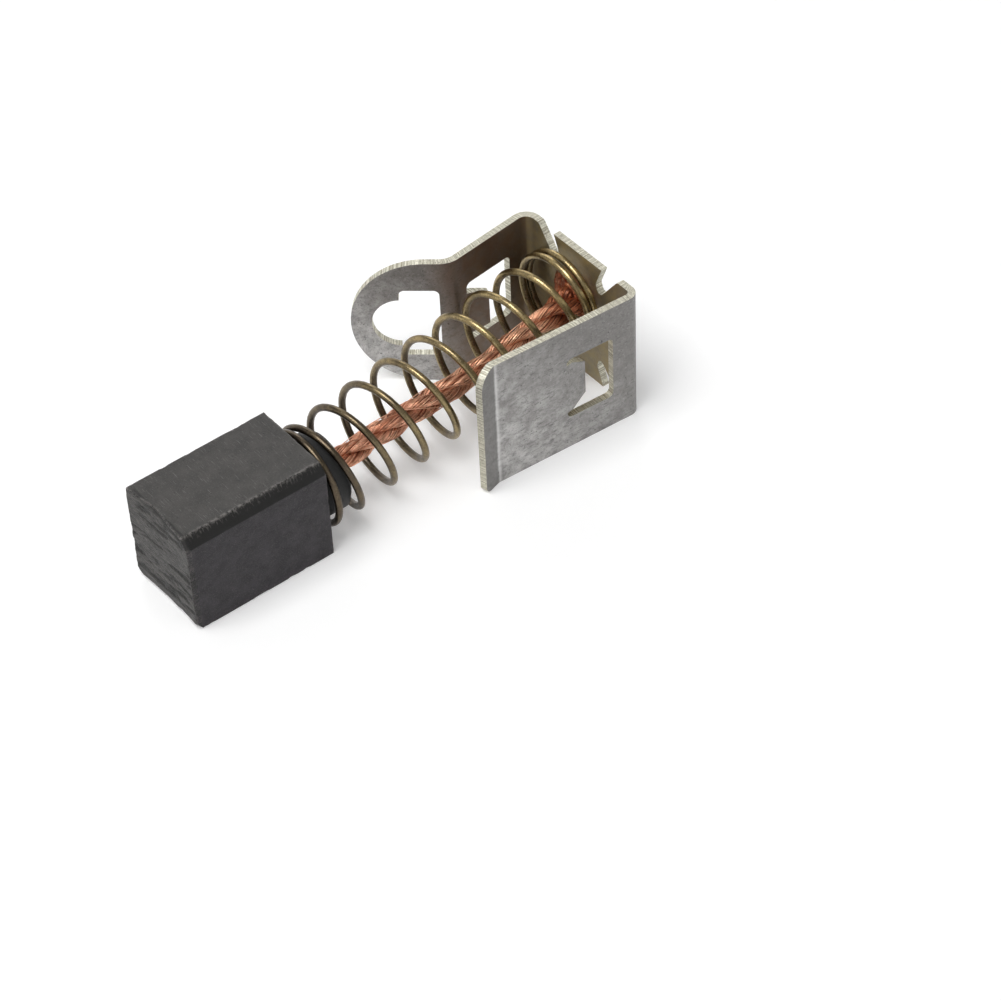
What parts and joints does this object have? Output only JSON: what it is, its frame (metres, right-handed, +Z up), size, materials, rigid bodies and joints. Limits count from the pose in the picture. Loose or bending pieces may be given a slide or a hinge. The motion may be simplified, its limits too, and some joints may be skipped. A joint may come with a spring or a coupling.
{
  "type": "carbon brush",
  "caption": "Rectangular carbon brush with a coil spring and a copper shunt rope joined to a folded U-shaped terminal clip with windows and an outward keyhole flap.",
  "frame": {"origin": "centre of the rear face of the clip's web", "axes": "+X out of the web, away from the carbon, +Y towards the arm with the flap, +Z up from the table it lies on"},
  "size_m": [0.0335, 0.0149, 0.01],
  "materials": {
    "graphite": "matte pressed graphite with a faint metallic sheen and fine scratches",
    "copper_powder": "dull tamped copper powder",
    "plated_steel": "mottled satin plated sheet with bare cut edges",
    "spring_steel": "drawn wire, dark with golden highlights",
    "copper": "bare stranded copper",
    "copper_weld": "rough heat-darkened weld"
  },
  "bodies": {
    "terminal": {"clip": "plated_steel", "shunt_weld": "copper_weld", "spring": "spring_steel", "shunt_rope": "copper"},
    "brush": {"carbon_block": "graphite", "tamping_plug": "copper_powder"}
  },
  "joints": [
    {"name": "brush_slide", "type": "slide", "parent": "terminal", "child": "brush", "axis": [1, 0, 0], "range_m": [0, 0.0095], "stiffness_N_per_m": 190, "deforming": ["spring", "shunt_rope"]}
  ]
}
